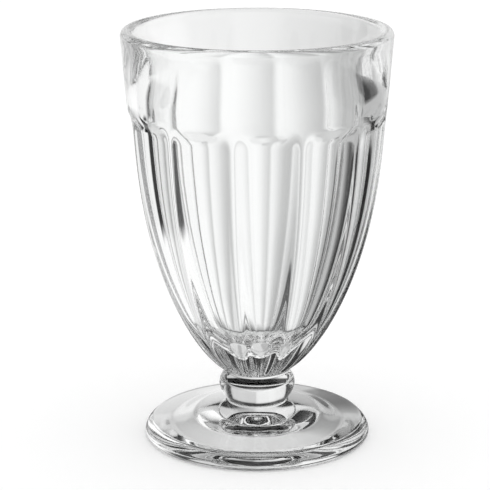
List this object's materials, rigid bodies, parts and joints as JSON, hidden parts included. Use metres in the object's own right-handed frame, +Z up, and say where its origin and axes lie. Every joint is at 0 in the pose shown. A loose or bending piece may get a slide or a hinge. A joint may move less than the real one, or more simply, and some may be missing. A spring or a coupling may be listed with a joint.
{
  "type": "footed dessert glass",
  "caption": "Footed pressed-glass dessert cup: deep tapered bowl with hollow flutes under a plain rim band, low round knop and wide domed foot.",
  "frame": {"origin": "centre of the flat ring under the foot, on the surface that the glass stands on", "axes": "+Z up along the axis of the glass; X and Y each pass through the middle of a flute, and the glass has no front"},
  "size_m": [0.096, 0.096, 0.15],
  "materials": {
    "clear_glass": "clear colourless soda-lime glass, pressed and fire-polished, smooth and glossy"
  },
  "bodies": {
    "root": {"bowl": "clear_glass", "knop": "clear_glass", "foot": "clear_glass"}
  },
  "joints": []
}
